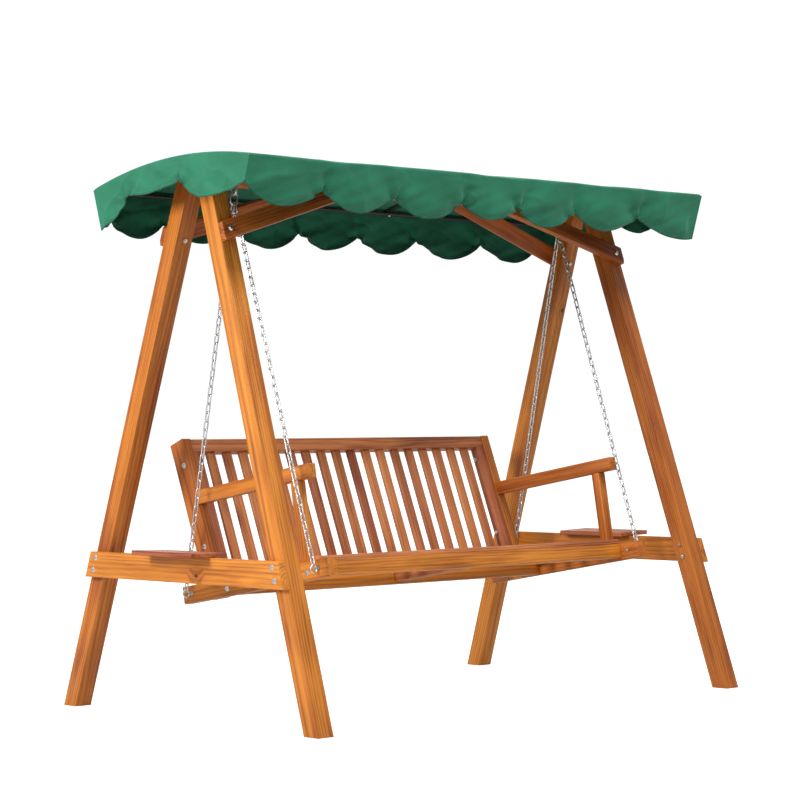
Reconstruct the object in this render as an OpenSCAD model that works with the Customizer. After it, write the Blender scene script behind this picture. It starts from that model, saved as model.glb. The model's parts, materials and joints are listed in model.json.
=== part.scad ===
// Garden swing bench: two timber A-frames, a top beam, a scalloped cloth canopy on arched ribs,
// and a slatted bench hung on four chains. Units are mm, +Z is up, the front faces -Y.

/* [A-frames] */
// distance over the two feet of one A-frame, front to back
foot_spread = 1200; // [1000:10:1500]
// half distance over the two legs of one A-frame at their top
top_half = 77.5; // [60:1:110]
// height of the leg tops, where the beam lies
leg_top = 1590; // [1300:10:2000]
// side of the square leg section
post = 58; // [45:1:80]
// how far the top of each A-frame leans in
lean_in = 46.7; // [0:1:100]
// clear way from the bench rail to the A-frame's outer face at the floor
side_gap = 220.5; // [180:1:300]
// height of the underside of the side rail
rail_z = 405; // [300:5:600]
// height of the side rail board
rail_h = 78; // [50:1:110]
// thickness of the side rail board
rail_t = 24; // [15:1:40]
// length of the side tray
tray_l = 284; // [200:1:400]
// width of the side tray
tray_w = 134; // [90:1:200]
// thickness of the side tray
tray_t = 14; // [8:1:25]

/* [Beam and braces] */
// width of the top beam
beam_w = 184; // [160:1:220]
// thickness of the top beam
beam_t = 32; // [20:1:50]
// height of the brace bolt
brace_z = 1438; // [1200:5:1500]
// slope of the braces
brace_slope = 19.2; // [12:0.5:30]
// height of a brace board
brace_h = 55; // [40:1:70]
// thickness of a brace board
brace_t = 20; // [15:1:30]

/* [Canopy] */
// how far the canopy reaches past each A-frame's foot
canopy_over = 71; // [40:1:200]
// front edge of the canopy from the middle plane
canopy_front = 405; // [300:5:600]
// back edge of the canopy from the middle plane
canopy_back = 335; // [250:5:500]
// how far the crown lies in front of the middle plane
crown_front = 137; // [0:1:200]
// radius of the canopy's arch
canopy_r = 1657; // [1300:5:2500]
// crown of the cloth above the beam
crown_h = 30; // [28:1:60]
// cloth thickness
cloth_t = 1.6; // [1:0.1:3]
// depth of the long valances at a notch
valance_h = 98; // [70:1:140]
// depth of the end valances at a notch
end_valance_h = 77; // [60:1:120]
// drop of a scallop below its notches
scallop_h = 54; // [30:1:70]
// lean of the long valances, inwards
valance_lean = 18; // [0:1:30]
// width of a rib
rib_w = 18; // [12:1:30]
// thickness of a rib
rib_t = 8; // [5:1:12]
// half distance between the two middle ribs
rib_mid = 216; // [150:1:400]
// diameter of the long canopy bars
bar_d = 14; // [10:1:20]

/* [Bench] */
// width over the bench's side rails
bench_w = 1384; // [1100:4:1600]
// front end of the bench rails from the middle plane
bench_front = 400; // [340:1:450]
// underside of the bench rails at their front end
bench_z = 430; // [380:5:520]
// tilt of the seat, rear down
seat_tilt = 9.6; // [0:0.2:14]
// length of the bench rails
seat_l = 682; // [600:2:760]
// thickness of the bench rails
seat_rail_t = 36; // [30:1:45]
// height of the bench rails
seat_rail_h = 54; // [45:1:70]
// thickness of the seat's cross rails
cross_t = 36; // [25:1:45]
// height of the seat's front rail
cross_h = 46; // [35:1:50]
// height of the seat's rear rail
rear_h = 52; // [40:1:54]
// width of all slats
slat_w = 34; // [25:1:40]
// thickness of the seat slats
seat_slat_t = 15; // [10:1:20]
// thickness of the back slats
back_slat_t = 11; // [8:1:15]
// number of back slats
back_slats_n = 18; // [12:1:19]
// width of the back panel's end stiles
stile_w = 34; // [28:1:45]
// depth of the back panel's end stiles
stile_d = 30; // [26:1:38]
// number of seat slats
seat_slats_n = 6; // [4:1:6]
// lean of the back from the seat's normal
back_lean = 12; // [5:0.5:20]
// length of the back uprights
back_l = 507; // [400:1:640]
// depth of the back uprights
upright_d = 62; // [50:1:75]
// thickness of uprights, arm posts and armrests
arm_t = 32; // [26:1:40]
// height of the armrest's underside over the rail's underside
arm_z = 297; // [220:1:340]
// height of the armrest board
arm_h = 43; // [30:1:55]

/* [Chains] */
// wanted pitch of a chain link
link_pitch = 26; // [20:1:40]
// chain wire
link_d = 4.5; // [3:0.1:6]
// from the bench rail's face to the chain
chain_off = 18; // [16:1:30]
// hanging point below the beam
hang_drop = 18; // [17:1:30]

/* [Hidden] */
$fn = 48;
tan_leg = (foot_spread / 2 - top_half) / leg_top;
leg_a = atan(tan_leg);
leg_y = post / cos(leg_a);
frame_l = bench_w + 2 * side_gap;
lean_a = atan(lean_in / leg_top);
canopy_l = frame_l + 2 * canopy_over;
beam_l = canopy_l - 50;
rib_end = beam_l / 2 - rib_w / 2;
crown_z = leg_top + beam_t + crown_h;
arch_z = crown_z - canopy_r;
bench_y = -bench_front;
rail_out = bench_w / 2;
rail_in = rail_out - seat_rail_t;
arm_in = rail_in - arm_t / 2;
arm_out = arm_in + arm_t;
cross_z = seat_rail_h - cross_h;
front_y = 77;
rear_y = seat_l - 232;
slat_pitch = (rear_y - 8 - front_y) / (seat_slats_n - 1);
back_y = seat_l - 96;
panel_b = 4 - upright_d;
slat_set = 12;
board_d = 38;
panel_lo = 40;
rail_b = 40;
post_clear = 1;
post_y = front_y + cross_t + post_clear;
chain_x = rail_out + chain_off;
chain_side = 3;
eye_z = 29;
eye_r = 11;
eye_d = 6;
eye_front = 45;
eye_rear = seat_l - 42;
hang_z = leg_top - hang_drop;
hang_r = 13;
hang_d = 6;
hang_s = 12;
hook_r = 13;
hook_d = 7;
hang_top = hang_z - (hook_r - hook_d / 2 - hang_d / 2 - 0.4);
hang_low = hang_top - hang_r - hang_s;
link_in = 4;
gap = 0.3;
bolt_r = 3.6;
hole_r = 3.9;
bolt_up = 426;
bolt_lo = 160;

// ---------- helpers ----------
module prism_x(x0, x1, pts) {
  translate([x0, 0, 0]) rotate([90, 0, 90]) linear_extrude(x1 - x0) polygon(pts);
}

module box(x0, x1, y0, y1, z0, z1) {
  translate([x0, y0, z0]) cube([x1 - x0, y1 - y0, z1 - z0]);
}

// s is -1 for the left A-frame and 1 for the right; inside it +X points outwards
module aframe(s) {
  mirror([s < 0 ? 1 : 0, 0, 0]) translate([frame_l / 2, 0, 0]) rotate([0, -lean_a, 0]) children();
}

// outer face of a leg at height z, f is -1 for the front
module leg_face(f, z) {
  mirror([0, f > 0 ? 1 : 0, 0]) translate([-post / 2, -leg_out(z), z]) rotate([-leg_a, 0, 0]) children();
}

function leg_out(z) = foot_spread / 2 - z * tan_leg;
function leg_mid(z) = leg_out(z) - leg_y / 2;
function arch_at(y, r) = arch_z + sqrt(r * r - (y + crown_front) * (y + crown_front));

module bench() {
  translate([0, bench_y, bench_z]) rotate([-seat_tilt, 0, 0]) children();
}

module back() {
  bench() translate([0, back_y, 0]) rotate([-back_lean, 0, 0]) children();
}

// a bolt along +X from its head's seat at 0 to its nut's seat at grip
module bolt(grip, r = bolt_r, head = 9) {
  rotate([0, 90, 0]) {
    translate([0, 0, -4.5]) cylinder(r1 = head * 0.62, r2 = head, h = 4.5);
    translate([0, 0, -1]) cylinder(r = r, h = grip + 10);
    translate([0, 0, grip]) cylinder(r = r * 2, h = 6, $fn = 6);
  }
}

module bolt_hole(grip, r = hole_r) {
  translate([-10, 0, 0]) rotate([0, 90, 0]) cylinder(r = r, h = grip + 20);
}

// ---------- A-frames ----------
function rail_bolt_z(i) = rail_z + rail_h * (i == 0 ? 0.29 : 0.77);

module rail_bolt_at() {
  for (f = [-1, 1]) for (i = [0, 1])
    translate([rail_t, f * leg_mid(rail_bolt_z(i)), rail_bolt_z(i)]) rotate([0, 0, 180]) children();
}

module leg_bar(f) {
  y0 = foot_spread / 2;
  prism_x(-post, 0, [[f * (y0 + 100 * tan_leg), -100], [f * (y0 + 100 * tan_leg - leg_y), -100],
                     [f * (y0 - 1.2 * leg_top * tan_leg - leg_y), 1.2 * leg_top],
                     [f * (y0 - 1.2 * leg_top * tan_leg), 1.2 * leg_top]]);
}

module leg(s, f) {
  color("peru") difference() {
    intersection() {
      aframe(s) leg_bar(f);
      box(-frame_l, frame_l, -foot_spread, foot_spread, 0, leg_top);
    }
    aframe(s) rail_bolt_at() bolt_hole(rail_t + post);
    aframe(s) leg_face(f, brace_z) rotate([0, 0, 90]) bolt_hole(post);
    beam_bolt_at(s, f) translate([0, 0, -70]) cylinder(r = hole_r, h = 100);
  }
}

module leg_front_left() { leg(-1, -1); }
module leg_back_left() { leg(-1, 1); }
module leg_front_right() { leg(1, -1); }
module leg_back_right() { leg(1, 1); }

module side_rail(s) {
  z1 = rail_z + rail_h;
  color("peru") difference() {
    aframe(s) prism_x(0, rail_t, [[-leg_out(rail_z), rail_z], [leg_out(rail_z), rail_z],
                                  [leg_out(z1), z1], [-leg_out(z1), z1]]);
    aframe(s) rail_bolt_at() bolt_hole(rail_t + post);
  }
}

module side_rail_left() { side_rail(-1); }
module side_rail_right() { side_rail(1); }

module side_tray(s) {
  z1 = rail_z + rail_h;
  color("sienna") aframe(s)
    box(rail_t * 1.5 - tray_w * 0.56, rail_t * 1.5 + tray_w * 0.44, -tray_l / 2, tray_l / 2, z1, z1 + tray_t);
}

module side_tray_left() { side_tray(-1); }
module side_tray_right() { side_tray(1); }

module side_rail_bolts() {
  color("silver") for (s = [-1, 1]) aframe(s) rail_bolt_at() bolt(rail_t + post);
}

// ---------- beam and braces ----------
module beam_box() {
  box(-beam_l / 2, beam_l / 2, -beam_w / 2, beam_w / 2, leg_top, leg_top + beam_t);
}

module beam_bolt_at(s, f) {
  translate([s * (frame_l / 2 - lean_in - post / 2), f * (top_half - leg_y / 2), leg_top]) children();
}

module top_beam() {
  color("peru") difference() {
    beam_box();
    for (s = [-1, 1]) {
      for (f = [-1, 1]) beam_bolt_at(s, f) translate([0, 0, -1]) cylinder(r = hole_r, h = beam_t + 2);
      translate([s * chain_x, 0, leg_top - 1]) cylinder(r = hook_d / 2 + 0.3, h = beam_t + 2);
    }
  }
}

module beam_bolts() {
  color("silver") for (s = [-1, 1]) for (f = [-1, 1]) beam_bolt_at(s, f) {
    translate([0, 0, beam_t]) cylinder(r1 = 9, r2 = 5.5, h = 4.5);
    translate([0, 0, -55]) cylinder(r = bolt_r, h = beam_t + 56);
  }
}

module brace(s, f) {
  color("sienna") difference() {
    intersection() {
      aframe(s) leg_face(f, brace_z) rotate([0, brace_slope, 0])
        box(-leg_top / 2, post / 2 + 6, -brace_t, 0, -brace_h / 2, brace_h / 2);
      box(-frame_l, frame_l, -foot_spread, foot_spread, 0, leg_top);
      aframe(s) box(-frame_l / 2, 0, -foot_spread, foot_spread, 0, leg_top * 1.1);
    }
    aframe(s) leg_face(f, brace_z) translate([0, -brace_t, 0]) rotate([0, 0, 90]) bolt_hole(brace_t + post);
  }
}

module brace_front_left() { brace(-1, -1); }
module brace_back_left() { brace(-1, 1); }
module brace_front_right() { brace(1, -1); }
module brace_back_right() { brace(1, 1); }

module brace_bolts() {
  color("silver") for (s = [-1, 1]) for (f = [-1, 1]) aframe(s) leg_face(f, brace_z)
    translate([0, -brace_t, 0]) rotate([0, 0, 90]) bolt(brace_t + post);
}

// ---------- hanging hardware ----------
// a closed loop of wire in the XZ plane, its end arcs' centres at +-half
module loop(rc, half, d) {
  for (m = [0, 1]) rotate([0, m * 180, 0]) {
    translate([0, 0, half]) rotate([90, 0, 0]) rotate_extrude(angle = 180) translate([rc, 0]) circle(d / 2);
    translate([rc, 0, -half]) cylinder(d = d, h = 2 * half);
  }
}

module ring(rc, d) {
  rotate([90, 0, 0]) rotate_extrude() translate([rc, 0]) circle(d / 2);
}

module beam_eye_bolts() {
  color("silver") for (s = [-1, 1]) translate([s * chain_x, 0, hang_z]) {
    rotate([0, 0, 90]) ring(hook_r, hook_d);
    translate([0, 0, hook_r]) cylinder(d = hook_d, h = hang_drop - hook_r + beam_t + 9);
    translate([0, 0, hang_drop - 1.5]) cylinder(r = 11, h = 1.5);
    translate([0, 0, hang_drop + beam_t]) cylinder(r = 8, h = 6, $fn = 6);
  }
}

module hanger_links() {
  color("silver") for (s = [-1, 1])
    translate([s * chain_x, 0, (hang_top - hang_r + hang_low) / 2]) loop(hang_r, hang_s / 2, hang_d);
}

// ---------- canopy ----------
module arch(x0, x1, y0, y1, ro, ri) {
  translate([x0, 0, 0]) intersection() {
    translate([0, -crown_front, arch_z]) rotate([0, 90, 0]) difference() {
      cylinder(r = ro, h = x1 - x0, $fn = 360);
      translate([0, 0, -1]) cylinder(r = ri, h = x1 - x0 + 2, $fn = 360);
    }
    box(-1, x1 - x0 + 1, y0, y1, arch_z + canopy_r * 0.8, arch_z + canopy_r + 10);
  }
}

module canopy_top() {
  color("seagreen")
    arch(-canopy_l / 2, canopy_l / 2, -canopy_front, canopy_back, canopy_r, canopy_r - cloth_t);
}

module rib_at(x) {
  ro = canopy_r - cloth_t - 0.1;
  difference() {
    union() {
      arch(x - rib_w / 2, x + rib_w / 2, 6 - canopy_front, canopy_back - 6, ro, ro - rib_t);
      intersection() {
        box(x - rib_w / 2, x + rib_w / 2, -beam_w * 0.3, beam_w * 0.3, leg_top + beam_t, crown_z);
        translate([x - rib_w, -crown_front, arch_z]) rotate([0, 90, 0])
          cylinder(r = ro - rib_t / 2, h = rib_w * 2, $fn = 360);
      }
    }
    beam_box();
    radial_screws(x) translate([0, 0, -30]) cylinder(r = 2.3, h = 60);
  }
}

function rib_xs() = [-rib_end, -rib_mid, rib_mid, rib_end];

module canopy_ribs() {
  color("dimgray") for (x = rib_xs()) rib_at(x);
}

bar_arc = canopy_r - cloth_t - 0.1 - rib_t - bar_d / 2 - 0.05;
bar_ys = [21 - canopy_front, canopy_back - 21];

module radial_screws(x) {
  for (y = bar_ys) translate([x, y, arch_at(y, bar_arc)])
    rotate([-asin((y + crown_front) / bar_arc), 0, 0]) children();
}

module canopy_bar(i) {
  y = bar_ys[i];
  color("dimgray") difference() {
    translate([-canopy_l / 2 + 6, y, arch_at(y, bar_arc)]) rotate([0, 90, 0])
      cylinder(d = bar_d, h = canopy_l - 12);
    for (x = rib_xs()) radial_screws(x) translate([0, 0, -30]) cylinder(r = 2.3, h = 60);
  }
}

module canopy_bar_front() { canopy_bar(0); }
module canopy_bar_back() { canopy_bar(1); }

module canopy_screws() {
  color("silver") for (x = rib_xs()) radial_screws(x) {
    translate([0, 0, -bar_d / 2 - 3]) cylinder(r1 = 3, r2 = 5, h = 3);
    translate([0, 0, -bar_d / 2 - 1]) cylinder(r = 2, h = bar_d + rib_t);
  }
}

function scallop_r(c) = (c * c / 4 + scallop_h * scallop_h) / (2 * scallop_h);

// one scallop of a long valance, from x0 to x1
module scallop(x0, x1) {
  r = scallop_r(x1 - x0);
  intersection() {
    box(x0 - lap, x1 + lap, 0, cloth_t, -valance_h - scallop_h - 5, 0);
    translate([(x0 + x1) / 2, -1, r - valance_h - scallop_h]) rotate([-90, 0, 0])
      cylinder(r = r, h = cloth_t + 2, $fn = 180);
  }
}

half_l = canopy_l / 2 - cloth_t - 0.3;
side_n = 7;
lap = 0.02;

module long_valance() {
  p = 2 * half_l / side_n;
  rotate([valance_lean, 0, 0]) for (k = [0:side_n - 1])
    scallop(-half_l + k * p, -half_l + (k + 1) * p);
}

module valance_front() {
  color("seagreen") translate([0, -canopy_front, arch_at(-canopy_front, canopy_r) - cloth_t - 0.6])
    long_valance();
}

module valance_back() {
  color("darkgreen") translate([0, canopy_back, arch_at(canopy_back, canopy_r) - cloth_t - 0.6])
    mirror([0, 1, 0]) long_valance();
}

module end_scallop(y0, y1, yc, c) {
  r = scallop_r(c);
  intersection() {
    box(0, cloth_t, y0 - lap, y1 + lap, arch_z + canopy_r * 0.8, crown_z);
    translate([-1, yc, arch_at(yc, canopy_r) - end_valance_h - scallop_h + r]) rotate([0, 90, 0])
      cylinder(r = r, h = cloth_t + 2, $fn = 180);
    translate([-1, -crown_front, arch_z]) rotate([0, 90, 0])
      cylinder(r = canopy_r - cloth_t - 0.2, h = cloth_t + 2, $fn = 360);
    prism_x(-1, cloth_t + 1, [[-canopy_front, crown_z], [-canopy_front, end_lo + 170],
                              [-canopy_front + 170 * tan(valance_lean), end_lo],
                              [canopy_back - 170 * tan(valance_lean), end_lo],
                              [canopy_back, end_lo + 170], [canopy_back, crown_z]]);
  }
}

end_lo = arch_at(canopy_back, canopy_r) - 170;
end_w = canopy_front + canopy_back;
end_a = -canopy_front + 0.418 * end_w;
end_b = -canopy_front + 0.79 * end_w;

module valance_end(s) {
  color("mediumseagreen") mirror([s < 0 ? 1 : 0, 0, 0]) translate([canopy_l / 2 - cloth_t, 0, 0]) {
    end_scallop(-canopy_front, end_a, (end_a - canopy_front) / 2, end_a + canopy_front);
    end_scallop(end_a, end_b, (end_a + end_b) / 2, end_b - end_a);
    end_scallop(end_b, canopy_back, end_b + 0.152 * end_w, 0.304 * end_w);
  }
}

module valance_left() { valance_end(-1); }
module valance_right() { valance_end(1); }

// ---------- seat ----------
module seat_rail(s) {
  color("peru") difference() {
    bench() box(s < 0 ? -rail_out : rail_in, s < 0 ? -rail_in : rail_out, 0, seat_l, 0, seat_rail_h);
    rail_points(s) bolt_hole(seat_rail_t);
    eye_points(s) bolt_hole(seat_rail_t, eye_d / 2 + 0.3);
  }
}

module seat_rail_left() { seat_rail(-1); }
module seat_rail_right() { seat_rail(1); }

// outer face of a bench rail, +X pointing inwards, at the bolts into the cross rails
module rail_points(s) {
  for (y = [front_y + cross_t / 2, rear_y + cross_t / 2])
    bench() mirror([s > 0 ? 1 : 0, 0, 0]) translate([-rail_out, y, 23]) children();
}

module eye_points(s) {
  for (y = [eye_front, eye_rear])
    bench() mirror([s > 0 ? 1 : 0, 0, 0]) translate([-rail_out, y, eye_z]) children();
}

module cross_rail(y, h) {
  color("peru") difference() {
    bench() box(-rail_in, rail_in, y, y + cross_t, seat_rail_h - h, seat_rail_h);
    for (s = [-1, 1]) rail_points(s) bolt_hole(seat_rail_t + 60);
  }
}

module seat_front_rail() { cross_rail(front_y, cross_h); }
module seat_rear_rail() { cross_rail(rear_y, rear_h); }

module seat_middle_bearer() {
  color("sienna") bench() box(-17, 17, front_y + cross_t, rear_y, cross_z, seat_rail_h);
}

module seat_cleats() {
  color("sienna") for (s = [-1, 1])
    bench() box(s < 0 ? -rail_in : arm_in, s < 0 ? -arm_in : rail_in, post_y + arm_t + 2, rear_y,
                seat_rail_h - 20, seat_rail_h);
}

module seat_slats() {
  y1 = post_y + arm_t + post_clear;
  color("sienna") bench() difference() {
    for (k = [0:seat_slats_n - 1])
      box(-rail_in + 1, rail_in - 1, front_y + k * slat_pitch, front_y + k * slat_pitch + slat_w,
          seat_rail_h, seat_rail_h + seat_slat_t);
    for (x = [-arm_out, arm_in])
      box(x - post_clear, x + arm_t + post_clear, post_y - post_clear, y1, 0, 2 * seat_rail_h);
  }
}

module upright(s) {
  lo = s < 0 ? -arm_out : arm_in;
  hi = lo + arm_t;
  mid = lo + arm_t / 2;
  color("peru") difference() {
    intersection() {
      back() box(lo, hi, -upright_d, 0, -100, back_l);
      bench() union() {
        box(s < 0 ? mid : lo, s < 0 ? hi : mid, -100, 1.5 * back_y, 0, 2 * back_l);
        box(s < 0 ? lo : mid, s < 0 ? mid : hi, -100, 1.5 * back_y, seat_rail_h, 2 * back_l);
      }
    }
    upright_points(s) bolt_hole(arm_t);
  }
}

module upright_points(s) {
  for (z = [bolt_lo, bolt_up])
    back() mirror([s > 0 ? 1 : 0, 0, 0]) translate([-arm_out, 22 - upright_d, z]) children();
}

module upright_left() { upright(-1); }
module upright_right() { upright(1); }

module back_top_rail() {
  color("sienna") back() box(-arm_in, arm_in, panel_b, panel_b + board_d, back_l - rail_b, back_l);
}

module back_bottom_rail() {
  color("sienna") back()
    box(-arm_in, arm_in, panel_b + 2, panel_b + stile_d - 4, panel_lo + 8, panel_lo + rail_b);
}

module back_stile(s) {
  x = s < 0 ? -arm_in : arm_in - stile_w;
  color("sienna") difference() {
    back() box(x, x + stile_w, panel_b, panel_b + stile_d, panel_lo + rail_b, back_l - rail_b);
    upright_points(s) bolt_hole(arm_t + stile_w);
  }
}

module back_stile_left() { back_stile(-1); }
module back_stile_right() { back_stile(1); }

module back_slats() {
  clear = (2 * (arm_in - stile_w) - back_slats_n * slat_w) / (back_slats_n + 1);
  y0 = panel_b + slat_set;
  color("sienna") back() for (k = [0:back_slats_n - 1]) {
    x = -arm_in + stile_w + clear + k * (slat_w + clear);
    box(x, x + slat_w, y0, y0 + min(back_slat_t, stile_d - slat_set - 4), panel_lo + rail_b, back_l - rail_b);
  }
}

module arm_post(s) {
  lo = s < 0 ? -arm_out : arm_in;
  mid = lo + arm_t / 2;
  color("peru") bench() union() {
    box(s < 0 ? mid : lo, s < 0 ? lo + arm_t : mid, post_y, post_y + arm_t, cross_z, arm_z);
    box(s < 0 ? lo : mid, s < 0 ? mid : lo + arm_t, post_y, post_y + arm_t, seat_rail_h, arm_z);
  }
}

module arm_post_left() { arm_post(-1); }
module arm_post_right() { arm_post(1); }

function upright_front(z) = back_y - upright_d / cos(back_lean) + z * tan(back_lean);

module armrest(s) {
  lo = s < 0 ? -arm_out : arm_in;
  color("peru") bench() prism_x(lo, lo + arm_t, [[front_y - 16, arm_z], [upright_front(arm_z), arm_z],
    [upright_front(arm_z + arm_h), arm_z + arm_h], [front_y - 16, arm_z + arm_h]]);
}

module armrest_left() { armrest(-1); }
module armrest_right() { armrest(1); }

module bench_bolts() {
  color("silver") for (s = [-1, 1]) {
    rail_points(s) {
      rotate([0, 90, 0]) translate([0, 0, -4.5]) cylinder(r1 = 5.5, r2 = 9, h = 4.5);
      rotate([0, 90, 0]) translate([0, 0, -1]) cylinder(r = bolt_r, h = seat_rail_t + 55);
    }
    upright_points(s) bolt(arm_t + stile_w);
  }
}

module seat_eye_bolts() {
  color("silver") for (s = [-1, 1]) for (i = [0, 1])
    bench() mirror([s > 0 ? 1 : 0, 0, 0]) translate([-rail_out, i == 0 ? eye_front : eye_rear, eye_z]) {
      x = -chain_off + (i == 0 ? chain_side : -chain_side);
      translate([x, 0, 0]) ring(eye_r, eye_d);
      translate([x + eye_r, 0, 0]) rotate([0, 90, 0]) cylinder(d = eye_d, h = -x - eye_r + seat_rail_t + 8);
      rotate([0, 90, 0]) translate([0, 0, -1.2]) cylinder(r = 8, h = 1.2);
      rotate([0, 90, 0]) translate([0, 0, seat_rail_t]) cylinder(r = 7, h = 5, $fn = 6);
    }
}

// ---------- chains ----------
function eye_y(i) = i == 0 ? eye_front : eye_rear;
function world_y(y, z) = bench_y + y * cos(seat_tilt) + z * sin(seat_tilt);
function world_z(y, z) = bench_z - y * sin(seat_tilt) + z * cos(seat_tilt);

module chain(s, i) {
  x = s * (chain_x + (i == 0 ? -chain_side : chain_side));
  top = hang_low - sqrt(hang_r * hang_r - chain_side * chain_side) + 0.2;
  yb = world_y(eye_y(i), eye_z + eye_r);
  zb = world_z(eye_y(i), eye_z + eye_r);
  len = sqrt(yb * yb + (top - zb) * (top - zb));
  n = 2 * floor(len / link_pitch / 2) + 1;
  end = hang_d / 2 + gap;
  p = (len + 2 * end - gap) / n;
  inner = p + gap;
  color("silver") translate([x, yb, zb]) rotate([atan2(yb, top - zb), 0, 0])
    for (k = [0:n - 1]) translate([0, 0, inner / 2 - end + k * p]) rotate([0, 0, k % 2 == 0 ? 90 : 0])
      loop(link_in + link_d / 2, inner / 2 - link_in, link_d);
}

module chain_front_left() { chain(-1, 0); }
module chain_rear_left() { chain(-1, 1); }
module chain_front_right() { chain(1, 0); }
module chain_rear_right() { chain(1, 1); }

leg_front_left();
leg_back_left();
leg_front_right();
leg_back_right();
side_rail_left();
side_rail_right();
side_tray_left();
side_tray_right();
top_beam();
brace_front_left();
brace_back_left();
brace_front_right();
brace_back_right();
side_rail_bolts();
brace_bolts();
beam_bolts();
beam_eye_bolts();
canopy_ribs();
canopy_bar_front();
canopy_bar_back();
canopy_screws();
canopy_top();
valance_front();
valance_back();
valance_left();
valance_right();
seat_rail_left();
seat_rail_right();
seat_front_rail();
seat_rear_rail();
seat_middle_bearer();
seat_cleats();
seat_slats();
upright_left();
upright_right();
back_top_rail();
back_bottom_rail();
back_stile_left();
back_stile_right();
back_slats();
arm_post_left();
arm_post_right();
armrest_left();
armrest_right();
bench_bolts();
seat_eye_bolts();
hanger_links();
chain_front_left();
chain_rear_left();
chain_front_right();
chain_rear_right();
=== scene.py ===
import bpy
import json
import math
import random
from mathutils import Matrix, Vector, noise

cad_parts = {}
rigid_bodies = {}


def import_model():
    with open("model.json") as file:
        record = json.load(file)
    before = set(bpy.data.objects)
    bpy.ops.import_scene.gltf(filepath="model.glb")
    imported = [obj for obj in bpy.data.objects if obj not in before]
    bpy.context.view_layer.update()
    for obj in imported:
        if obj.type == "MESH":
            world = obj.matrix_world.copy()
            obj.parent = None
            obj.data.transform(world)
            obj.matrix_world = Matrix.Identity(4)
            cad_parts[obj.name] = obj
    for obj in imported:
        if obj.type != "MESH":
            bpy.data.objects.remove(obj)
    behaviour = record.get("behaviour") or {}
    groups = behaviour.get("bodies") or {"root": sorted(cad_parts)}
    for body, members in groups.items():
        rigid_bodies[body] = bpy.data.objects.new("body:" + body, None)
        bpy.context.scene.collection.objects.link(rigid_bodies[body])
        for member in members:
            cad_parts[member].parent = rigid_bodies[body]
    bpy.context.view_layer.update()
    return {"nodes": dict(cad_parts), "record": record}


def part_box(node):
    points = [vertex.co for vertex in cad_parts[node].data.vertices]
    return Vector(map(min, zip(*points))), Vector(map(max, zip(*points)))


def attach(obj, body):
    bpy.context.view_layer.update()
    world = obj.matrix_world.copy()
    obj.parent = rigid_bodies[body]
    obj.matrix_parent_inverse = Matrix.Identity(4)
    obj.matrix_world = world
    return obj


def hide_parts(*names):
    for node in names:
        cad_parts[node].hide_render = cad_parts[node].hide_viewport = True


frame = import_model()
nodes = frame["nodes"]
record = frame["record"]
slotOf = {part["node"]: part["material_slot"] for part in record["subparts"]}
bodyOf = {name: body for body, names in record["behaviour"]["bodies"].items() for name in names}
print("frame loaded:", len(nodes), "nodes")

# camera angles are in degrees, the lens and its sensor in millimetres
cameraSet = {"place": (-5.364, -5.680, 0.860), "rise": 0.62, "heading": -43.19, "roll": -0.386,
             "lens": 110.07, "sensor": 36, "farthest": 300}
lightSet = {
    "sky": (0.97, 0.985, 1.0), "skyLow": 0.26, "skyHigh": 0.95, "seenSky": 1.06, "floorTone": 0.58,
    "floorRadius": 60, "floorSides": 96, "floorRough": 0.8, "floorGlow": 0.80,
    "key": {"place": (-6.8, 0.2, 3.4), "size": 2.0, "power": 430, "tone": (1.0, 0.985, 0.95)},
    "front": {"place": (-0.6, -4.6, 6.6), "size": 2.4, "power": 340, "tone": (1.0, 0.97, 0.93)},
    "rear": {"place": (3.5, 5.0, 4.2), "size": 3.0, "power": 90, "tone": (0.95, 0.98, 1.0)},
    "aim": (0, 0, 0.9)}


def placeCamera():
    bpy.ops.object.camera_add(location=cameraSet["place"])
    cam = bpy.context.object
    cam.rotation_euler = (math.radians(90 + cameraSet["rise"]), 0, math.radians(cameraSet["heading"]))
    cam.rotation_euler.rotate_axis("Z", math.radians(cameraSet["roll"]))
    cam.data.sensor_width = cameraSet["sensor"]
    cam.data.lens = cameraSet["lens"]
    cam.data.clip_end = cameraSet["farthest"]
    bpy.context.scene.camera = cam


def paintSky():
    # the sky brightens from the horizon up, and the camera sees it as an even white
    world = bpy.data.worlds.new("studioSky")
    world.use_nodes = True
    tree = world.node_tree
    sky = tree.nodes["Background"]
    sky.inputs["Color"].default_value = (*lightSet["sky"], 1)
    looked = tree.nodes.new("ShaderNodeLightPath").outputs["Is Camera Ray"]
    where = tree.nodes.new("ShaderNodeTexCoord").outputs["Generated"]
    split = tree.nodes.new("ShaderNodeSeparateXYZ")
    rising = tree.nodes.new("ShaderNodeMapRange")
    rising.inputs["To Min"].default_value = lightSet["skyLow"]
    rising.inputs["To Max"].default_value = lightSet["skyHigh"]
    level = tree.nodes.new("ShaderNodeMapRange")
    level.inputs["To Max"].default_value = lightSet["seenSky"]
    tree.links.new(where, split.inputs[0])
    tree.links.new(split.outputs["Z"], rising.inputs["Value"])
    tree.links.new(rising.outputs["Result"], level.inputs["To Min"])
    tree.links.new(looked, level.inputs["Value"])
    tree.links.new(level.outputs["Result"], sky.inputs["Strength"])
    bpy.context.scene.world = world


def hangLamps():
    for name in ("key", "front", "rear"):
        lamp = lightSet[name]
        bpy.ops.object.light_add(type="AREA", location=lamp["place"])
        light = bpy.context.object
        light.name = name + "Light"
        light.data.size = lamp["size"]
        light.data.energy = lamp["power"]
        light.data.color = lamp["tone"]
        away = Vector(lamp["place"]) - Vector(lightSet["aim"])
        light.rotation_euler = away.to_track_quat("Z", "Y").to_euler()


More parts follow.
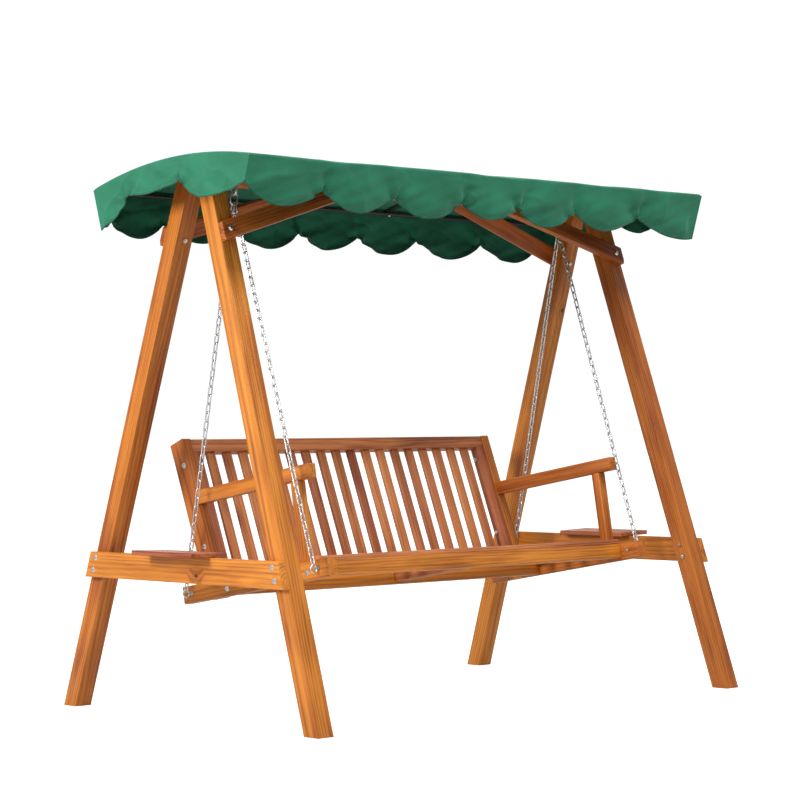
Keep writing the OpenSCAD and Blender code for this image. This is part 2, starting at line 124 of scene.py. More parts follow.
def layFloor():
    # the floor glows only for the camera, so it adds no light to the swing
    bpy.ops.mesh.primitive_circle_add(vertices=lightSet["floorSides"], radius=lightSet["floorRadius"],
                                      fill_type="NGON")
    floor = bpy.context.object
    floor.name = "studioFloor"
    paint = bpy.data.materials.new("paleFloor")
    paint.use_nodes = True
    tree = paint.node_tree
    shader = tree.nodes["Principled BSDF"]
    tone = lightSet["floorTone"]
    shader.inputs["Base Color"].default_value = (tone, tone, tone, 1)
    shader.inputs["Roughness"].default_value = lightSet["floorRough"]
    shader.inputs["Emission Color"].default_value = (1, 1, 1, 1)
    glow = tree.nodes.new("ShaderNodeMath")
    glow.operation = "MULTIPLY"
    glow.inputs[1].default_value = lightSet["floorGlow"]
    looked = tree.nodes.new("ShaderNodeLightPath").outputs["Is Camera Ray"]
    tree.links.new(looked, glow.inputs[0])
    tree.links.new(glow.outputs[0], shader.inputs["Emission Strength"])
    floor.data.materials.append(paint)


bpy.context.scene.view_settings.view_transform = "Standard"
placeCamera()
paintSky()
hangLamps()
layFloor()
print("camera, floor and light placed")


# short calls that add and join shader nodes
def addNode(tree, kind, inputs=None, **settings):
    node = tree.nodes.new("ShaderNode" + kind)
    for key, value in settings.items():
        setattr(node, key, value)
    for key, value in (inputs or {}).items():
        socket = node.inputs[key]
        if isinstance(value, bpy.types.NodeSocket):
            tree.links.new(value, socket)
        else:
            socket.default_value = value
    return node


def mathNode(tree, operation, a, b=0.0):
    return addNode(tree, "Math", {0: a, 1: b}, operation=operation).outputs[0]


def rampNode(tree, value, low, high, toLow=0.0, toHigh=1.0):
    limits = {"Value": value, "From Min": low, "From Max": high, "To Min": toLow, "To Max": toHigh}
    return addNode(tree, "MapRange", limits, interpolation_type="SMOOTHSTEP").outputs["Result"]


def spreadNode(tree, value, low, high):
    # an even change from low to high while the value runs from 0 to 1
    return addNode(tree, "MapRange", {"Value": value, "To Min": low, "To Max": high}).outputs["Result"]


def stretchNode(tree, place, scale):
    return addNode(tree, "VectorMath", {0: place, 1: scale}, operation="MULTIPLY").outputs[0]


def noiseNode(tree, place, scale, detail, roughness=0.5):
    return addNode(tree, "TexNoise", {"Vector": place, "Scale": scale, "Detail": detail,
                                      "Roughness": roughness}).outputs[0]


def blendNode(tree, factor, a, b):
    # sockets 6, 7 and 2 of a Mix node are its two colours and the blended colour
    return addNode(tree, "Mix", {"Factor": factor, 6: a, 7: b}, data_type="RGBA").outputs[2]


def newGroup(name, inputs, outputs):
    tree = bpy.data.node_groups.new(name, "ShaderNodeTree")
    for label, kind, value in inputs:
        socket = tree.interface.new_socket(label, in_out="INPUT", socket_type="NodeSocket" + kind)
        if value is not None:
            socket.default_value = value
    for label, kind in outputs:
        tree.interface.new_socket(label, in_out="OUTPUT", socket_type="NodeSocket" + kind)
    return tree, tree.nodes.new("NodeGroupInput").outputs, tree.nodes.new("NodeGroupOutput").inputs


def newMaterial(name, **sockets):
    material = bpy.data.materials.new(name)
    material.use_nodes = True
    shader = material.node_tree.nodes["Principled BSDF"]
    for label, value in sockets.items():
        shader.inputs[label.replace("_", " ")].default_value = value
    return material, material.node_tree, shader


def placeGroup(tree, group, inputs):
    return addNode(tree, "Group", inputs, node_tree=group).outputs


def joinSurface(tree, shader, made):
    tree.links.new(made["Color"], shader.inputs["Base Color"])
    tree.links.new(made["Roughness"], shader.inputs["Roughness"])


def bumpFrom(tree, shader, height, distance, strength):
    bump = addNode(tree, "Bump", {"Height": height, "Distance": distance, "Strength": strength})
    tree.links.new(bump.outputs["Normal"], shader.inputs["Normal"])


# oiled softwood with rings, fibres and knots that follow each board, sizes in metres
grainSet = {
    "knotStretch": 0.72, "coreSize": 0.0075, "haloSize": 0.036, "sharp": 0.004,
    "knotTone": (0.055, 0.018, 0.007, 1), "drift": 0.030, "knotBend": 0.010,
    "driftScale": (1.3, 9, 9), "streakScale": (1.6, 55, 55), "fibreScale": (9, 420, 420),
    "cloudScale": (3.2, 12, 12), "ringShade": 0.34, "haloShade": 0.35,
    "paleToBright": (0.76, 1.16), "hueTurn": (0.492, 0.506), "bumpDeep": 0.0006}


def buildWoodGrain():
    look = grainSet
    tree, given, result = newGroup(
        "woodGrain",
        [("Board", "Vector", None), ("Tone", "Float", 0.5), ("Light", "Color", (0.7, 0.27, 0.06, 1)),
         ("Dark", "Color", (0.4, 0.12, 0.02, 1)), ("Ring Gap", "Float", 0.006), ("Knots", "Float", 0.3),
         ("Knot Gap", "Float", 0.17)],
        [("Color", "Color"), ("Roughness", "Float"), ("Height", "Float")])
    along, across, deep = addNode(tree, "SeparateXYZ", {"Vector": given["Board"]}).outputs
    # knots: a sparse set of cells over the wide face, a little longer along the board
    knotX = mathNode(tree, "MULTIPLY", along, look["knotStretch"])
    cellAt = addNode(tree, "CombineXYZ", {"X": knotX, "Y": across}).outputs[0]
    perCell = mathNode(tree, "DIVIDE", 1.0, given["Knot Gap"])
    cells = addNode(tree, "TexVoronoi", {"Vector": cellAt, "Scale": perCell}, voronoi_dimensions="2D")
    knotFar = mathNode(tree, "MULTIPLY", cells.outputs["Distance"], given["Knot Gap"])
    cellRandom = addNode(tree, "SeparateColor", {"Color": cells.outputs["Color"]}).outputs[0]
    present = mathNode(tree, "LESS_THAN", cellRandom, given["Knots"])
    core = mathNode(tree, "MULTIPLY", rampNode(tree, knotFar, look["coreSize"], look["sharp"]), present)
    halo = mathNode(tree, "MULTIPLY", rampNode(tree, knotFar, look["haloSize"], look["sharp"]), present)
    # growth rings round a centre that lies beside the board, bent by a slow drift and by the knots
    drift = noiseNode(tree, stretchNode(tree, given["Board"], look["driftScale"]), 1.0, 2.0)
    section = addNode(tree, "CombineXYZ", {"X": across, "Y": deep}).outputs[0]
    radius = addNode(tree, "VectorMath", {0: section}, operation="LENGTH").outputs["Value"]
    bent = mathNode(tree, "ADD", radius, mathNode(tree, "MULTIPLY", drift, look["drift"]))
    bent = mathNode(tree, "ADD", bent, mathNode(tree, "MULTIPLY", halo, look["knotBend"]))
    turn = mathNode(tree, "MULTIPLY", mathNode(tree, "DIVIDE", bent, given["Ring Gap"]), 2 * math.pi)
    wave = addNode(tree, "Math", {0: mathNode(tree, "SINE", turn), 1: 0.5, 2: 0.5},
                   operation="MULTIPLY_ADD").outputs[0]
    rings = rampNode(tree, wave, 0.25, 1.0)
    # long streaks and fine fibres along the board
    streak = noiseNode(tree, stretchNode(tree, given["Board"], look["streakScale"]), 1.0, 3.0)
    fibre = noiseNode(tree, stretchNode(tree, given["Board"], look["fibreScale"]), 1.0, 4.0, 0.6)
    cloud = noiseNode(tree, stretchNode(tree, given["Board"], look["cloudScale"]), 1.0, 2.0)
    dark = mathNode(tree, "MULTIPLY", rings, look["ringShade"])
    dark = mathNode(tree, "ADD", dark, rampNode(tree, streak, 0.38, 0.68, 0.0, 0.42))
    dark = mathNode(tree, "ADD", dark, rampNode(tree, fibre, 0.35, 0.70, -0.10, 0.22))
    dark = mathNode(tree, "ADD", dark, rampNode(tree, cloud, 0.40, 0.66, -0.08, 0.30))
    dark = mathNode(tree, "ADD", dark, mathNode(tree, "MULTIPLY", halo, look["haloShade"]))
    grain = blendNode(tree, dark, given["Light"], given["Dark"])
    knotted = blendNode(tree, core, grain, look["knotTone"])
    # each board is a little paler or darker, and a little redder or yellower
    value = spreadNode(tree, given["Tone"], *look["paleToBright"])
    hue = spreadNode(tree, given["Tone"], *look["hueTurn"])
    toned = addNode(tree, "HueSaturation", {"Color": knotted, "Value": value, "Hue": hue}).outputs[0]
    tree.links.new(toned, result["Color"])
    tree.links.new(rampNode(tree, fibre, 0.3, 0.7, 0.38, 0.56), result["Roughness"])
    raised = mathNode(tree, "MULTIPLY", fibre, 0.8)
    height = mathNode(tree, "SUBTRACT", raised, mathNode(tree, "MULTIPLY", rings, 0.5))
    height = mathNode(tree, "ADD", height, mathNode(tree, "MULTIPLY", core, 0.6))
    tree.links.new(height, result["Height"])
    return tree


# gap is the space between two rings, and knots the share of cells that hold one
woodSet = {
    "frame_wood": {"light": (0.56, 0.182, 0.021), "dark": (0.24, 0.050, 0.004),
                   "gap": 0.0085, "knots": 0.20},
    "slat_wood": {"light": (0.60, 0.215, 0.075), "dark": (0.22, 0.050, 0.015),
                  "gap": 0.0060, "knots": 0.30}}


def makeWood(slotName, grain):
    look = woodSet[slotName]
    material, tree, shader = newMaterial("oiled_" + slotName, Coat_Weight=0.06, Coat_Roughness=0.4,
                                         Specular_IOR_Level=0.35)
    board = addNode(tree, "Attribute", attribute_name="board")
    tone = addNode(tree, "Attribute", attribute_name="tone")
    made = placeGroup(tree, grain, {
        "Board": board.outputs["Vector"], "Tone": tone.outputs["Fac"], "Light": (*look["light"], 1),
        "Dark": (*look["dark"], 1), "Ring Gap": look["gap"], "Knots": look["knots"]})
    joinSurface(tree, shader, made)
    bumpFrom(tree, shader, made["Height"], grainSet["bumpDeep"], 0.8)
    return material


# both metals have fine cells of a slightly dimmer tone, and cloudy patches that are worn dull
metalSet = {
    "zincPlate": {"color": (0.74, 0.75, 0.74), "rough": 0.30, "metal": 1.0, "cells": 420, "fleck": 0.22},
    "darkSatinPaint": {"color": (0.030, 0.034, 0.032), "rough": 0.42, "metal": 0.0, "cells": 260,
                       "fleck": 0.20}}
wornSet = {"patchScale": 0.4, "wornTone": 0.6, "smoothest": -0.06, "roughest": 0.12, "bumpDeep": 0.0002}


def buildWornMetal():
    tree, given, result = newGroup(
        "wornMetal",
        [("Clean", "Color", (0.7, 0.7, 0.7, 1)), ("Fleck", "Color", (0.6, 0.6, 0.6, 1)),
         ("Worn", "Color", (0.4, 0.4, 0.4, 1)), ("Cells", "Float", 300.0), ("Roughness", "Float", 0.4)],
        [("Color", "Color"), ("Roughness", "Float"), ("Height", "Float")])
    where = addNode(tree, "TexCoord").outputs["Object"]
    cells = addNode(tree, "TexVoronoi", {"Vector": where, "Scale": given["Cells"]})
    patchScale = mathNode(tree, "MULTIPLY", given["Cells"], wornSet["patchScale"])
    cloud = noiseNode(tree, where, patchScale, 4.0)
    shade = addNode(tree, "SeparateColor", {"Color": cells.outputs["Color"]}).outputs[0]
    mixed = blendNode(tree, shade, given["Clean"], given["Fleck"])
    worn = blendNode(tree, rampNode(tree, cloud, 0.52, 0.75, 0.0, 0.5), mixed, given["Worn"])
    smooth = mathNode(tree, "ADD", given["Roughness"], wornSet["smoothest"])
    dull = mathNode(tree, "ADD", given["Roughness"], wornSet["roughest"])
    tree.links.new(worn, result["Color"])
    tree.links.new(rampNode(tree, cloud, 0.35, 0.7, smooth, dull), result["Roughness"])
    tree.links.new(cloud, result["Height"])
    return tree


def makeMetal(name, surface):
    look = metalSet[name]
    material, tree, shader = newMaterial(name, Metallic=look["metal"])
    made = placeGroup(tree, surface, {
        "Clean": (*look["color"], 1), "Fleck": (*(c * (1 - look["fleck"]) for c in look["color"]), 1),
        "Worn": (*(c * wornSet["wornTone"] for c in look["color"]), 1), "Cells": look["cells"],
        "Roughness": look["rough"]})
    joinSurface(tree, shader, made)
    bumpFrom(tree, shader, made["Height"], wornSet["bumpDeep"], 0.5)
    return material


# woven cloth: hemWide is the width of the folded edge, and stitch the length of one stitch with its gap
clothSet = {
    "color": (0.012, 0.128, 0.066), "faded": (0.019, 0.180, 0.098), "hemColor": (0.006, 0.080, 0.042),
    "edgeColor": (0.004, 0.04, 0.025), "thread": (0.05, 0.34, 0.22), "weave": 57.5, "slub": (35, 700, 1),
    "hemWide": 0.011, "hemSoft": 0.0012, "rowInset": 0.003, "stitch": 0.0055, "bumpDeep": 0.00035}


def makeCloth():
    look = clothSet
    material, tree, shader = newMaterial(
        "awningCloth", Roughness=0.70, Sheen_Weight=0.16, Sheen_Roughness=0.5,
        Sheen_Tint=(0.6, 1.0, 0.9, 1), Specular_IOR_Level=0.22)
    lay = addNode(tree, "UVMap", uv_map="clothLay").outputs[0]
    hem, seam, run = (addNode(tree, "Attribute", attribute_name=name).outputs["Fac"]
                      for name in ("hem", "seam", "run"))
    warp, weft = (addNode(tree, "TexWave", {"Vector": lay, "Scale": look["weave"], "Distortion": 0.6},
                          bands_direction=way).outputs["Fac"] for way in ("X", "Y"))
    weave = mathNode(tree, "ADD", warp, weft)
    cloud = noiseNode(tree, lay, 7.0, 3.0)
    slub = noiseNode(tree, stretchNode(tree, lay, look["slub"]), 1.0, 2.0)
    fade = mathNode(tree, "ADD", rampNode(tree, cloud, 0.35, 0.70, 0.0, 0.75),
                    rampNode(tree, slub, 0.4, 0.7, 0.0, 0.3))
    color = blendNode(tree, fade, (*look["color"], 1), (*look["faded"], 1))
    # the folded hem is darker than the sheet, and its very edge darker still
    folded = rampNode(tree, hem, look["hemWide"] + look["hemSoft"], look["hemWide"] - look["hemSoft"])
    color = blendNode(tree, mathNode(tree, "MULTIPLY", folded, 0.35), color, (*look["hemColor"], 1))
    color = blendNode(tree, seam, color, (*look["hemColor"], 1))
    edge = rampNode(tree, hem, 0.0022, 0.0012)
    color = blendNode(tree, mathNode(tree, "MULTIPLY", edge, 0.8), color, (*look["edgeColor"], 1))
    # one row of stitches just inside the fold of the hem
    off = mathNode(tree, "ABSOLUTE", mathNode(tree, "SUBTRACT", hem, look["hemWide"] - look["rowInset"]))
    row = rampNode(tree, off, 0.0009, 0.0004)
    beat = mathNode(tree, "SINE", mathNode(tree, "MULTIPLY", run, 2 * math.pi / look["stitch"]))
    stitch = mathNode(tree, "MULTIPLY", row, rampNode(tree, beat, -0.3, 0.1))
    color = blendNode(tree, stitch, color, (*look["thread"], 1))
    tree.links.new(color, shader.inputs["Base Color"])
    height = mathNode(tree, "ADD", mathNode(tree, "MULTIPLY", weave, 0.35),
                      mathNode(tree, "MULTIPLY", slub, 0.5))
    height = mathNode(tree, "ADD", height, mathNode(tree, "MULTIPLY", stitch, 2.0))
    bumpFrom(tree, shader, height, look["bumpDeep"], 0.7)
    return material


woodGrain = buildWoodGrain()
wornMetal = buildWornMetal()
woods = {name: makeWood(name, woodGrain) for name in woodSet}
zinc = makeMetal("zincPlate", wornMetal)
satinPaint = makeMetal("darkSatinPaint", wornMetal)
awning = makeCloth()
print("materials built")


# every timber node gets rounded edges and a grain that runs along each board; angles are in degrees
boardSet = {"round": 0.0022, "steps": 2, "sameLine": 2.0, "sharpEdge": 40, "smoothUnder": 35,
            "weld": 0.00002, "along": 9.0, "beside": 0.055, "paintedLightBand": 0.12}
# painted shade: the braces and back stiles are toned dark; painted light: the seat front rail and side
# rails are toned pale
shadeDarkenedBoards = ("brace_", "back_stile")
lightPaledBoards = ("seat_front_rail", "side_rail")
chance = random.Random(41)


def loosePieces(mesh):
    parent = list(range(len(mesh.vertices)))

    def root(i):
        while parent[i] != i:
            parent[i] = parent[parent[i]]
            i = parent[i]
        return i

    for edge in mesh.edges:
        a, b = root(edge.vertices[0]), root(edge.vertices[1])
        parent[a] = b
    groups = {}
    for i in range(len(mesh.vertices)):
        groups.setdefault(root(i), []).append(i)
    owner = {i: key for key, group in groups.items() for i in group}
    return groups, owner


def markBoards(mesh, nodeName):
    # each loose board gets its own place in the grain and its own tone, which on the braces and back
    # stiles is painted shade and on the seat front rail and side rails painted light
    groups, owner = loosePieces(mesh)
    longest, widest = {}, {}
    for edge in mesh.edges:
        a, b = (mesh.vertices[i].co for i in edge.vertices)
        key = owner[edge.vertices[0]]
        if key not in longest or (b - a).length > longest[key].length:
            longest[key] = b - a
    for face in mesh.polygons:
        key = owner[face.vertices[0]]
        if key not in widest or face.area > widest[key][0]:
            widest[key] = (face.area, face.normal.copy())
    board = [0.0] * (3 * len(mesh.vertices))
    tone = [0.5] * len(mesh.vertices)
    for key in sorted(groups, key=lambda k: min(groups[k])):
        group = groups[key]
        along = longest[key].normalized()
        face = widest[key][1]
        across = face.cross(along).normalized()
        middle = sum((mesh.vertices[i].co for i in group), Vector()) / len(group)
        shift = (chance.uniform(0, boardSet["along"]), chance.uniform(-1, 1) * boardSet["beside"],
                 chance.uniform(0.2, 1) * boardSet["beside"])
        shade = chance.random()
        # painted shade on the braces and back stiles, painted light on the seat front rail and side rails
        if nodeName.startswith(shadeDarkenedBoards):
            shade *= boardSet["paintedLightBand"]
        if nodeName.startswith(lightPaledBoards):
            shade = 1 - boardSet["paintedLightBand"] * shade
        for i in group:
            away = mesh.vertices[i].co - middle
            board[3 * i:3 * i + 3] = (away.dot(along) + shift[0], away.dot(across) + shift[1],
                                      away.dot(face) + shift[2])
            tone[i] = shade
    mesh.attributes.new("board", "FLOAT_VECTOR", "POINT").data.foreach_set("vector", board)
    mesh.attributes.new("tone", "FLOAT", "POINT").data.foreach_set("value", tone)


def makeTimber(nodeName):
    bpy.ops.object.select_all(action="DESELECT")
    nodes[nodeName].select_set(True)
    bpy.context.view_layer.objects.active = nodes[nodeName]
    bpy.ops.object.duplicate(linked=False)
    piece = bpy.context.object
    piece.name = "board_" + nodeName
    bpy.ops.object.parent_clear(type="CLEAR_KEEP_TRANSFORM")
    bpy.ops.object.mode_set(mode="EDIT")
    bpy.ops.mesh.select_all(action="SELECT")
    bpy.ops.mesh.remove_doubles(threshold=boardSet["weld"])
    bpy.ops.mesh.dissolve_limited(angle_limit=math.radians(boardSet["sameLine"]))
    bpy.ops.object.mode_set(mode="OBJECT")
    rounding = piece.modifiers.new("softEdge", "BEVEL")
    rounding.width = boardSet["round"]
    rounding.segments = boardSet["steps"]
    rounding.limit_method = "ANGLE"
    rounding.angle_limit = math.radians(boardSet["sharpEdge"])
    rounding.use_clamp_overlap = True
    bpy.ops.object.modifier_apply(modifier=rounding.name)
    bpy.ops.object.shade_smooth_by_angle(angle=math.radians(boardSet["smoothUnder"]))
    markBoards(piece.data, nodeName)
    piece.data.materials.clear()
    piece.data.materials.append(woods[slotOf[nodeName]])
    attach(piece, bodyOf[nodeName])
    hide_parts(nodeName)


timber = [name for name in sorted(slotOf) if slotOf[name] in woodSet]
for name in timber:
    makeTimber(name)
print("boards made:", len(timber))


def finishMetal():
    # metal nodes keep their shape and get their finish
    finishes = {"hardware": zinc, "canopy_metal": satinPaint}
    for name, slotName in slotOf.items():
        if slotName in finishes:
            mesh = nodes[name].data
            mesh.materials.clear()
            mesh.materials.append(finishes[slotName])


finishMetal()
print("metal finished")

# the canopy is one sheet over the ribs and down both long sides, with a valance at each end
topLow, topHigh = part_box("canopy_top")
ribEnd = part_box("canopy_ribs")[1].x
# the arch is a round with its crown a little in front of the middle
archSet = {"radius": 1.657, "crown": -0.137, "sag": 0.0045, "sagWave": 4.2, "sagCentre": -0.035,
           "innerRib": 0.216, "ribHalf": 0.009, "wave": 0.0016}
# turn and edgeTurn are the rounds from the top into the long valances and over the ends
canopySet = {
    "thick": 0.0016, "hemThick": 1.9, "turn": 0.011, "edgeTurn": 0.007, "edgeSteps": 4,
    "columnStep": 0.0125, "closest": 0.0035, "topRows": 46, "turnRows": 7, "hangRows": 24,
    "endColumns": 120,
    "seamAt": -0.193, "seamHalf": 0.0022, "frontDrop": 0.154, "backDrop": 0.162,
    "weld": 0.00001, "smoothUnder": 50}
foldSet = {
    "lean": math.radians(18), "billow": 0.013, "wave": 0.0060, "curl": 0.006, "pucker": 0.0095,
    "puckerReach": 0.075, "puckerCore": 0.012, "fans": 5.0, "crumple": 0.0095, "cornerHold": 0.06,
    "endBillow": 0.007, "endWave": 0.005, "endPucker": 0.8, "endInset": 0.0003}
# each row is a point of a hem: its place along the edge, its drop below the edge, and its kind, where
# "n" is a notch or an end and "b" is the bottom of a scallop
frontHem = [(-0.9835, 0.082, "n"), (-0.83, 0.146, "b"), (-0.678, 0.096, "n"), (-0.535, 0.150, "b"),
            (-0.398, 0.098, "n"), (-0.255, 0.152, "b"), (-0.111, 0.099, "n"), (0.010, 0.140, "b"),
            (0.133, 0.098, "n"), (0.262, 0.152, "b"), (0.390, 0.100, "n"), (0.540, 0.150, "b"),
            (0.690, 0.098, "n"), (0.930, 0.158, "b"), (0.9835, 0.154, "n")]
backHem = [(-0.9835, 0.135, "n"), (-0.966, 0.124, "b"), (-0.948, 0.107, "n"), (-0.855, 0.156, "b"),
           (-0.742, 0.105, "n"), (-0.617, 0.160, "b"), (-0.475, 0.106, "n"), (-0.325, 0.162, "b"),
           (-0.193, 0.104, "n"), (-0.082, 0.155, "b"), (0.062, 0.106, "n"), (0.190, 0.160, "b"),
           (0.329, 0.105, "n"), (0.479, 0.162, "b"), (0.639, 0.104, "n"), (0.783, 0.161, "b"),
           (0.920, 0.106, "n"), (0.955, 0.130, "b"), (0.9835, 0.138, "n")]
# at the ends the place is the share of the way from the front edge to the back edge
leftHem = [(0.0, 0.078, "n"), (0.27, 0.130, "b"), (0.425, 0.075, "n"), (0.62, 0.090, "b"),
           (0.795, 0.068, "n"), (0.93, 0.122, "b"), (1.0, 0.128, "n")]
rightHem = [(0.0, 0.147, "n"), (0.07, 0.140, "b"), (0.20, 0.080, "n"), (0.36, 0.134, "b"),
            (0.53, 0.078, "n"), (0.70, 0.132, "b"), (0.86, 0.080, "n"), (0.95, 0.120, "b"),
            (1.0, 0.131, "n")]


def archZ(y):
    radius = archSet["radius"]
    away = y - archSet["crown"]
    return topHigh.z - radius + math.sqrt(radius * radius - away * away)


def hemDrop(points, at):
    # from a notch to a bottom the hem is a quarter of a round, steep at the notch and level at the bottom
    for (a, dropA, kindA), (b, dropB, _) in zip(points, points[1:]):
        if at <= b + 1e-9:
            if kindA == "n":
                return dropA + (dropB - dropA) * math.sin(max(at - a, 0) / (b - a) * math.pi / 2) ** 0.9
            return dropB + (dropA - dropB) * math.sin(max(b - at, 0) / (b - a) * math.pi / 2) ** 0.9
    return points[-1][1]


def scallopPhase(points, at):
    # none at a notch and full in the middle of a scallop
    notches = [p[0] for p in points if p[2] == "n"]
    for a, b in zip(notches, notches[1:]):
        if at <= b + 1e-9:
            return math.sin(math.pi * min(max((at - a) / (b - a), 0), 1))
    return 0.0


def ripple(points, at, down, scale=1.0):
    # folds that fan out upwards from each notch
    total = 0.0
    for k, (place, drop, kind) in enumerate(points):
        if kind == "n":
            side, up = (at - place) * scale, drop - down
            far = math.hypot(side, up)
            fan = math.cos(foldSet["fans"] * math.atan2(side, up + foldSet["puckerCore"]) + 1.7 * k)
            total += fan * math.exp(-far / foldSet["puckerReach"]) * min(far / foldSet["puckerCore"], 1)
    return total * foldSet["pucker"]


def slowWave(a, b, seed):
    # wide and narrow waves together, between about -1 and 1
    wide = math.sin(a * 3.1 + seed) * math.cos(b * 4.3 + 1.3 * seed)
    return (wide + 0.5 * math.sin(a * 7.7 + b * 5.1 + 2.1 * seed)) / 1.5


def crumple(a, b, seed):
    # soft dents with a few sharper creases
    soft = noise.noise(Vector((a * 8, b * 13, seed)))
    crease = 1 - 3 * abs(noise.noise(Vector((a * 6 + b * 5, b * 9 - a * 4, seed + 20))))
    return (soft + 0.5 * max(crease, 0) ** 3) * foldSet["crumple"]


def evenPlaces(points, count):
    # even steps along the edge that also land on every notch and bottom
    places = []
    span = points[-1][0] - points[0][0]
    for (a, _, _), (b, _, _) in zip(points, points[1:]):
        steps = max(2, round(count * (b - a) / span))
        places += [a + (b - a) * k / steps for k in range(steps)]
    return places + [points[-1][0]]


def bendCurve(a, corner, b, t):
    return a * (1 - t) ** 2 + corner * 2 * t * (1 - t) + b * t * t


def hangPath(x, sign, hem, down):
    # a point of a long valance, down metres below its edge, with billow and folds
    edgeY = topLow.y if sign < 0 else topHigh.y
    lean = foldSet["lean"]
    share = min(down / hemDrop(hem, x), 1.0)
    inward = Vector((0, -sign * math.sin(lean), -math.cos(lean)))
    out = Vector((0, sign * math.cos(lean), -math.sin(lean)))
    seed = 1.0 if sign < 0 else 4.0
    billow = foldSet["billow"] * scallopPhase(hem, x) * math.sin(share * 2.4) ** 1.3
    billow += foldSet["wave"] * slowWave(x * 7 + down * 9, down * 16, seed) * share ** 0.7
    billow += ripple(hem, x, down)
    billow += crumple(x, down, 3.0 * sign) * min(share * 3, 1) * (1.0 - 0.35 * share)
    curl = -foldSet["curl"] * share ** 6
    # the corners are sewn to the end valances, so they stay in place
    held = min((topHigh.x - abs(x)) / foldSet["cornerHold"], 1)
    return Vector((x, edgeY, archZ(edgeY))) + inward * down + out * (billow + curl) * held


def topPoint(x, y):
    # the sheet on its ribs: pulled flat over each rib, slack between them, and rounded down at its ends
    mid = archSet["innerRib"]
    end = ribEnd - archSet["ribHalf"]
    slack = 0.0
    for a, b in ((-end, -mid), (-mid, mid), (mid, end)):
        if a < x < b:
            slack = math.sin(math.pi * (x - a) / (b - a)) ** 2
    dip = 0.55 + 0.45 * math.cos((y - archSet["sagCentre"]) * archSet["sagWave"])
    z = archZ(y) - archSet["sag"] * slack * dip
    z += archSet["wave"] * max(slowWave(x * 5, y * 9, 2.6), 0) * slack
    z += 0.3 * crumple(x * 0.7, y * 0.7, 5.0) * slack
    edgeTurn = canopySet["edgeTurn"]
    over = max(abs(x) - (topHigh.x - edgeTurn), 0) / edgeTurn
    inset = topHigh.x - edgeTurn * (1 - math.sin(over * math.pi / 2)) if over > 0 else abs(x)
    z -= edgeTurn * (1 - math.cos(over * math.pi / 2))
    return Vector((math.copysign(inset, x), y, z))


def addSheetMesh(name, rows, lay, hems, seams, runs, thick):
    # rows is a grid of points, and the lists beside it hold one value for each point
    wide = len(rows[0])
    points = [p for row in rows for p in row]
    faces = [(r * wide + c, r * wide + c + 1, (r + 1) * wide + c + 1, (r + 1) * wide + c)
             for r in range(len(rows) - 1) for c in range(wide - 1)]
    mesh = bpy.data.meshes.new(name)
    mesh.from_pydata(points, [], faces)
    uv = mesh.uv_layers.new(name="clothLay")
    for loop in mesh.loops:
        uv.data[loop.index].uv = lay[loop.vertex_index]
    for label, values in (("hem", hems), ("seam", seams), ("run", runs)):
        mesh.attributes.new(label, "FLOAT", "POINT").data.foreach_set("value", values)
    piece = bpy.data.objects.new(name, mesh)
    bpy.context.collection.objects.link(piece)
    area = sum(face.area for face in mesh.polygons)
    heavy = piece.vertex_groups.new(name="hemFold")
    for i, value in enumerate(hems):
        heavy.add([i], 1.0 if value < clothSet["hemWide"] else 0.0, "REPLACE")
    bpy.ops.object.select_all(action="DESELECT")
    piece.select_set(True)
    bpy.context.view_layer.objects.active = piece
    bpy.ops.object.mode_set(mode="EDIT")
    bpy.ops.mesh.select_all(action="SELECT")
    bpy.ops.mesh.remove_doubles(threshold=canopySet["weld"])
    bpy.ops.mesh.normals_make_consistent(inside=False)
    bpy.ops.object.mode_set(mode="OBJECT")
    body = piece.modifiers.new("clothBody", "SOLIDIFY")
    body.thickness = thick * canopySet["hemThick"]
    body.offset = -1.0
    body.use_even_offset = False
    body.vertex_group = heavy.name
    body.thickness_vertex_group = 1 / canopySet["hemThick"]
    bpy.ops.object.modifier_apply(modifier=body.name)
    bpy.ops.object.shade_smooth_by_angle(angle=math.radians(canopySet["smoothUnder"]))
    piece.data.materials.append(awning)
    return piece, area


def placeColumns():
    # columns land on every notch and bottom of both long hems, and close together where the ends turn down
    s = canopySet
    count = (topHigh.x - topLow.x) / s["columnStep"]
    wanted = evenPlaces(frontHem, count) + evenPlaces(backHem, count)
    wanted += [math.copysign(topHigh.x - s["edgeTurn"] * k / s["edgeSteps"], side)
               for side in (-1, 1) for k in range(s["edgeSteps"] + 1)]
    keep = {round(p[0], 5) for p in frontHem + backHem}
    columns = sorted(set(round(x, 5) for x in wanted))
    kept = columns[:1]
    for x in columns[1:]:
        if x - kept[-1] > s["closest"] or x in keep or abs(x) > topHigh.x - s["edgeTurn"]:
            kept.append(x)
    return kept


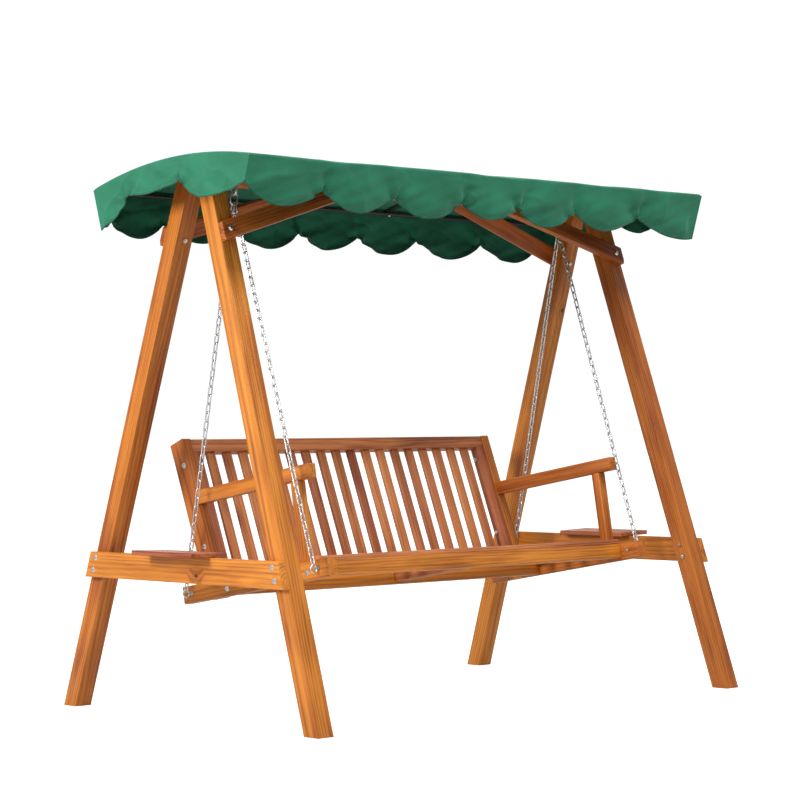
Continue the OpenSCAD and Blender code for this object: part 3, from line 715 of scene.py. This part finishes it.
def makeMainCloth():
    s = canopySet
    columns = placeColumns()
    inner = topHigh.y - topLow.y - 2 * s["turn"]
    rows, lay, hems, seams, runs = [], [], [], [], []

    def addRow(makePoint, pathAt, hemAt=lambda x: 0.1, seamAt=lambda x: 0.0):
        # hemAt is the distance from the hem, and anywhere on the top is far from it
        rows.append([makePoint(x) for x in columns])
        lay.extend((x, pathAt(x)) for x in columns)
        hems.extend(hemAt(x) for x in columns)
        seams.extend(seamAt(x) for x in columns)
        runs.extend(columns)

    def edgePoint(x, sign, t):
        edgeY = topLow.y if sign < 0 else topHigh.y
        start = hangPath(x, sign, frontHem if sign < 0 else backHem, s["turn"])
        finish = topPoint(x, edgeY - sign * s["turn"])
        return bendCurve(start, topPoint(x, edgeY), finish, t)

    def hang(sign, hem, k):
        base = -s["turn"] if sign < 0 else inner + s["turn"]

        def down(x):
            return hemDrop(hem, x) + (s["turn"] - hemDrop(hem, x)) * k / s["hangRows"]

        def seamLine(x):
            return 1.0 if sign > 0 and abs(x - s["seamAt"]) < s["seamHalf"] else 0.0

        addRow(lambda x: hangPath(x, sign, hem, down(x)), lambda x: base + sign * down(x),
               lambda x: hemDrop(hem, x) - down(x), seamLine)

    for k in range(s["hangRows"] + 1):
        hang(-1, frontHem, k)
    for k in range(1, s["turnRows"]):
        t = k / s["turnRows"]
        addRow(lambda x: edgePoint(x, -1, t), lambda x: -s["turn"] * (1 - t))
    for k in range(s["topRows"] + 1):
        path = inner * k / s["topRows"]
        addRow(lambda x: topPoint(x, topLow.y + s["turn"] + path), lambda x: path)
    for k in range(1, s["turnRows"]):
        t = k / s["turnRows"]
        addRow(lambda x: edgePoint(x, 1, 1 - t), lambda x: inner + s["turn"] * t)
    for k in range(s["hangRows"], -1, -1):
        hang(1, backHem, k)
    piece, area = addSheetMesh("canopyCloth", rows, lay, hems, seams, runs, s["thick"])
    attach(piece, "stand")
    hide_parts("canopy_top", "valance_front", "valance_back")


def makeEndCloth(side, hem, nodeName):
    s = canopySet
    span = topHigh.y - topLow.y
    shares = evenPlaces(hem, s["endColumns"])
    rows, lay, hems, runs = [], [], [], []
    for k in range(s["hangRows"] + 1):
        lift = k / s["hangRows"]
        row = []
        for share in shares:
            drop = hemDrop(hem, share)
            down = drop * (1 - lift) + s["edgeTurn"] * 0.6 * lift
            part = down / drop
            # both long valances lean inwards, so an end gets narrower further down
            slip = down * math.sin(foldSet["lean"])
            y = topLow.y + slip + share * (span - 2 * slip)
            out = foldSet["endBillow"] * scallopPhase(hem, share) * math.sin(part * 2.3)
            out += foldSet["endPucker"] * ripple(hem, share, down, span) * part
            out -= foldSet["curl"] * part ** 2
            out += foldSet["endWave"] * slowWave(share * 9 + down * 8, down * 18, 5.0 + side) * part
            out += crumple(share * span, down, 9.0 + side) * min(part * 3, 1)
            out *= min(min(share, 1 - share) * span / foldSet["cornerHold"], 1)
            x = side * (topHigh.x - foldSet["endInset"] + out)
            row.append(Vector((x, y, archZ(topLow.y + share * span) - down)))
            lay.append((share * span, down))
            hems.append(drop - down)
            runs.append(share * span)
        rows.append(row)
    piece, area = addSheetMesh("endCloth" + ("Left" if side < 0 else "Right"), rows, lay, hems,
                               [0.0] * len(hems), runs, s["thick"])
    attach(piece, "stand")
    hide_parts(nodeName)


makeMainCloth()
makeEndCloth(-1, leftHem, "valance_left")
makeEndCloth(1, rightHem, "valance_right")
print("canopy cloth made")
